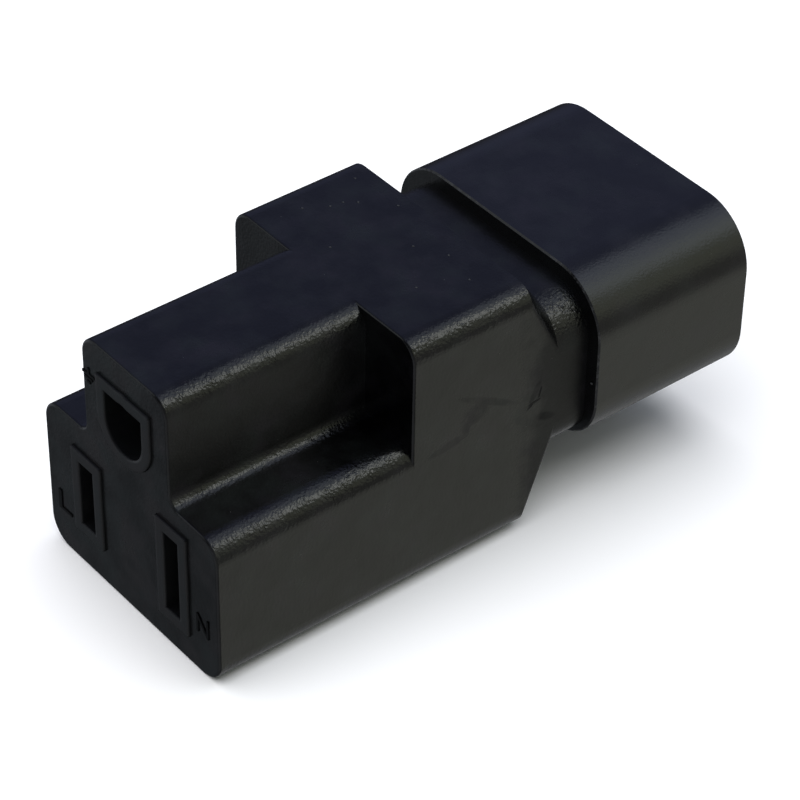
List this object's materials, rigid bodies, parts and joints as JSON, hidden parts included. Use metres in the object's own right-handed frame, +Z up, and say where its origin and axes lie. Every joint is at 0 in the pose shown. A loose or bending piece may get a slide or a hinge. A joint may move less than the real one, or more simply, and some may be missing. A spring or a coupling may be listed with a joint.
{
  "type": "power plug adapter",
  "caption": "Rigid one-piece mains adapter: a grounded three-slot socket face at the front and a shrouded three-blade inlet at the rear.",
  "frame": {"origin": "centre of the bounding box at the flat underside the adapter rests on", "axes": "+Z up with the earth opening on top, +Y from the socket face to the inlet, +X to the right as seen facing the socket"},
  "size_m": [0.0282, 0.0586, 0.027],
  "materials": {
    "moulded_body": "spark-eroded black moulding",
    "insert_plastic": "plain black moulding",
    "shroud_plastic": "satin black moulding",
    "contact_brass": "stamped brass",
    "plated_blade": "nickel-plated brass"
  },
  "bodies": {
    "root": {"outer_housing": "moulded_body", "socket_insert": "insert_plastic", "insert_back_cover": "insert_plastic", "inlet_shroud": "shroud_plastic", "pin_carrier": "insert_plastic", "line_contact": "contact_brass", "neutral_contact": "contact_brass", "earth_contact": "contact_brass", "line_link": "contact_brass", "neutral_link": "contact_brass", "earth_link": "contact_brass", "line_pin": "plated_blade", "neutral_pin": "plated_blade", "earth_pin": "plated_blade", "line_contact_rivet": "contact_brass", "neutral_contact_rivet": "contact_brass", "earth_contact_rivet": "contact_brass", "line_pin_rivet": "contact_brass", "neutral_pin_rivet": "contact_brass", "earth_pin_rivet": "contact_brass"}
  },
  "joints": []
}
